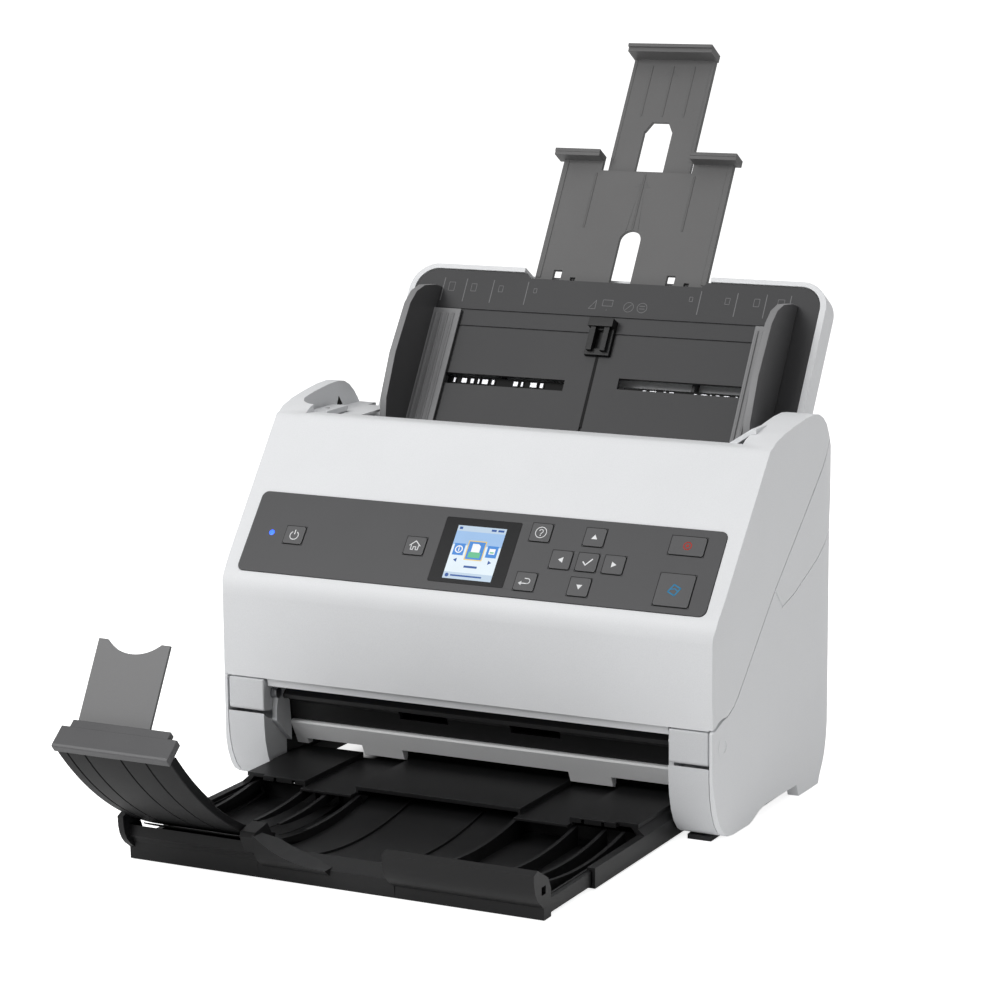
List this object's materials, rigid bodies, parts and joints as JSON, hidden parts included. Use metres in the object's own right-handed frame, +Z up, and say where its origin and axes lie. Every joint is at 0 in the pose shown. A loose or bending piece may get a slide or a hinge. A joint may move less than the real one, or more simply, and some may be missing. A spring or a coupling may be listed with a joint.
{
  "type": "sheet fed document scanner",
  "caption": "Desktop sheet fed document scanner with a hinged front cover and keys, sliding paper guides, pull-out input extensions and drawn-out output trays with a curved flap and folding stopper.",
  "frame": {"origin": "on the table, on the machine's centre line, under the middle of the length with the trays drawn out", "axes": "X to the right seen from the front, Y to the back, Z up"},
  "size_m": [0.2908, 0.4818, 0.382],
  "materials": {
    "white_plastic": "fine moulded grain",
    "light_grey_plastic": "fine moulded grain",
    "panel_grey": "smooth satin",
    "tray_grey": "fine texture",
    "black_plastic": "fine texture",
    "flap_grey": "satin",
    "rubber": "matt",
    "steel": "turned",
    "ivory_plastic": "moulded",
    "circuit_board": "solder mask",
    "clear_window": "polished"
  },
  "bodies": {
    "base": {"base_frame": "black_plastic", "front_pillars": "light_grey_plastic", "side_cover_left": "white_plastic", "side_cover_right": "white_plastic", "rear_cover": "white_plastic", "rubber_feet": "rubber", "crossbar": "light_grey_plastic", "exit_guide": "black_plastic", "lower_guide": "black_plastic", "lower_sensor": "black_plastic", "lower_glass": "clear_window", "hinge_pins": "steel", "feed_motor": "steel", "drive_belts": "rubber", "main_board": "circuit_board", "rear_sockets": "black_plastic", "case_screws": "steel", "tray_shell": "white_plastic", "tray_panel": "tray_grey", "sheet_flag": "black_plastic"},
    "cover": {"cover_shell": "white_plastic", "control_panel": "panel_grey", "display_window": "clear_window", "display_screen": "clear_window", "status_light": "clear_window", "hinge_blocks": "light_grey_plastic", "upper_guide": "black_plastic", "upper_sensor": "black_plastic", "upper_glass": "clear_window"},
    "lever": {"open_lever": "light_grey_plastic"},
    "sep": {"separation_roller": "rubber"},
    "pinch": {"pinch_rollers": "rubber"},
    "motor": {"motor_pulley": "ivory_plastic"},
    "feed": {"feed_shaft": "steel", "feed_rollers": "rubber"},
    "transport": {"transport_shaft": "steel", "transport_rollers": "rubber"},
    "eject": {"eject_shaft": "steel", "eject_rollers": "rubber"},
    "guide_left": {"edge_guide_left": "tray_grey"},
    "guide_right": {"edge_guide_right": "tray_grey"},
    "pinion": {"guide_pinion": "ivory_plastic"},
    "ext_lower": {"extension_lower": "tray_grey"},
    "ext_upper": {"extension_upper": "tray_grey"},
    "out_tray": {"output_tray": "black_plastic"},
    "out_ext": {"output_extension": "black_plastic"},
    "flap": {"curved_flap": "flap_grey"},
    "stopper": {"stopper_plate": "flap_grey"},
    "key_power": {"power_button": "panel_grey"},
    "key_home": {"home_button": "panel_grey"},
    "key_help": {"help_button": "panel_grey"},
    "key_back": {"back_button": "panel_grey"},
    "key_up": {"up_button": "panel_grey"},
    "key_down": {"down_button": "panel_grey"},
    "key_left": {"left_button": "panel_grey"},
    "key_right": {"right_button": "panel_grey"},
    "key_ok": {"ok_button": "panel_grey"},
    "key_stop": {"stop_button": "panel_grey"},
    "key_start": {"start_button": "panel_grey"}
  },
  "joints": [
    {"name": "cover_open", "type": "hinge", "parent": "base", "child": "cover", "pos_m": [0, -0.02534, 0.0508], "axis": [1, 0, 0], "range_deg": [0, 65]},
    {"name": "edge_guides", "type": "slide", "parent": "base", "child": "guide_left", "axis": [1, 0, 0], "range_m": [0, 0.072]},
    {"name": "edge_guide_right", "type": "slide", "parent": "base", "child": "guide_right", "axis": [-1, 0, 0], "range_m": [0, 0.072]},
    {"name": "edge_pinion", "type": "hinge", "parent": "base", "child": "pinion", "pos_m": [0, 0.12562, 0.19981], "axis": [0, -0.8508, 0.5255], "range_deg": [-520, 520]},
    {"name": "ext_lower", "type": "slide", "parent": "base", "child": "ext_lower", "axis": [0, -0.5255, -0.8508], "range_m": [0, 0.07]},
    {"name": "ext_upper", "type": "slide", "parent": "ext_lower", "child": "ext_upper", "axis": [0, -0.5255, -0.8508], "range_m": [0, 0.06]},
    {"name": "flap_slide", "type": "hinge", "parent": "out_ext", "child": "flap", "pos_m": [0, -0.08584, 0.1985], "axis": [1, 0, 0], "range_deg": [0, 25]},
    {"name": "flap_stopper", "type": "hinge", "parent": "flap", "child": "stopper", "pos_m": [0, -0.22889, 0.07194], "axis": [-1, 0, 0], "range_deg": [0, 101]},
    {"name": "lever_release", "type": "hinge", "parent": "cover", "child": "lever", "pos_m": [0, 0.07066, 0.1855], "axis": [1, 0, 0], "range_deg": [0, 5]},
    {"name": "output_tray", "type": "slide", "parent": "base", "child": "out_tray", "axis": [0, 1, 0], "range_m": [0, 0.054]},
    {"name": "output_extension", "type": "slide", "parent": "out_tray", "child": "out_ext", "axis": [0, 1, 0], "range_m": [0, 0.043]},
    {"name": "press_power", "type": "slide", "parent": "cover", "child": "key_power", "axis": [0, 0.7749, -0.632], "range_m": [0, 0.0008]},
    {"name": "press_home", "type": "slide", "parent": "cover", "child": "key_home", "axis": [0, 0.7749, -0.632], "range_m": [0, 0.0008]},
    {"name": "press_help", "type": "slide", "parent": "cover", "child": "key_help", "axis": [0, 0.7749, -0.632], "range_m": [0, 0.0008]},
    {"name": "press_back", "type": "slide", "parent": "cover", "child": "key_back", "axis": [0, 0.7749, -0.632], "range_m": [0, 0.0008]},
    {"name": "press_up", "type": "slide", "parent": "cover", "child": "key_up", "axis": [0, 0.7749, -0.632], "range_m": [0, 0.0008]},
    {"name": "press_down", "type": "slide", "parent": "cover", "child": "key_down", "axis": [0, 0.7749, -0.632], "range_m": [0, 0.0008]},
    {"name": "press_left", "type": "slide", "parent": "cover", "child": "key_left", "axis": [0, 0.7749, -0.632], "range_m": [0, 0.0008]},
    {"name": "press_right", "type": "slide", "parent": "cover", "child": "key_right", "axis": [0, 0.7749, -0.632], "range_m": [0, 0.0008]},
    {"name": "press_ok", "type": "slide", "parent": "cover", "child": "key_ok", "axis": [0, 0.7749, -0.632], "range_m": [0, 0.0008]},
    {"name": "press_stop", "type": "slide", "parent": "cover", "child": "key_stop", "axis": [0, 0.7749, -0.632], "range_m": [0, 0.0008]},
    {"name": "press_start", "type": "slide", "parent": "cover", "child": "key_start", "axis": [0, 0.7749, -0.632], "range_m": [0, 0.0008]},
    {"name": "roll_motor", "type": "hinge", "parent": "base", "child": "motor", "pos_m": [0, 0.07016, 0.058], "axis": [1, 0, 0], "continuous": true},
    {"name": "roll_transport", "type": "hinge", "parent": "base", "child": "transport", "pos_m": [0, 0.04488, 0.09135], "axis": [1, 0, 0], "continuous": true},
    {"name": "roll_feed", "type": "hinge", "parent": "base", "child": "feed", "pos_m": [0, 0.0695, 0.1074], "axis": [1, 0, 0], "continuous": true},
    {"name": "roll_eject", "type": "hinge", "parent": "base", "child": "eject", "pos_m": [0, -0.00312, 0.04974], "axis": [1, 0, 0], "continuous": true},
    {"name": "roll_separation", "type": "hinge", "parent": "cover", "child": "sep", "pos_m": [0, 0.05499, 0.12414], "axis": [1, 0, 0], "continuous": true},
    {"name": "roll_pinch", "type": "hinge", "parent": "cover", "child": "pinch", "pos_m": [0, 0.03561, 0.10204], "axis": [1, 0, 0], "continuous": true}
  ],
  "couplings": [
    {"joint": "edge_guide_right", "follows": "edge_guides", "ratio": 1},
    {"joint": "edge_pinion", "follows": "edge_guides", "rad_per_m": 125},
    {"joint": "roll_motor", "follows": "roll_transport", "ratio": 1},
    {"joint": "roll_feed", "follows": "roll_transport", "ratio": 1},
    {"joint": "roll_eject", "follows": "roll_transport", "ratio": 1}
  ]
}
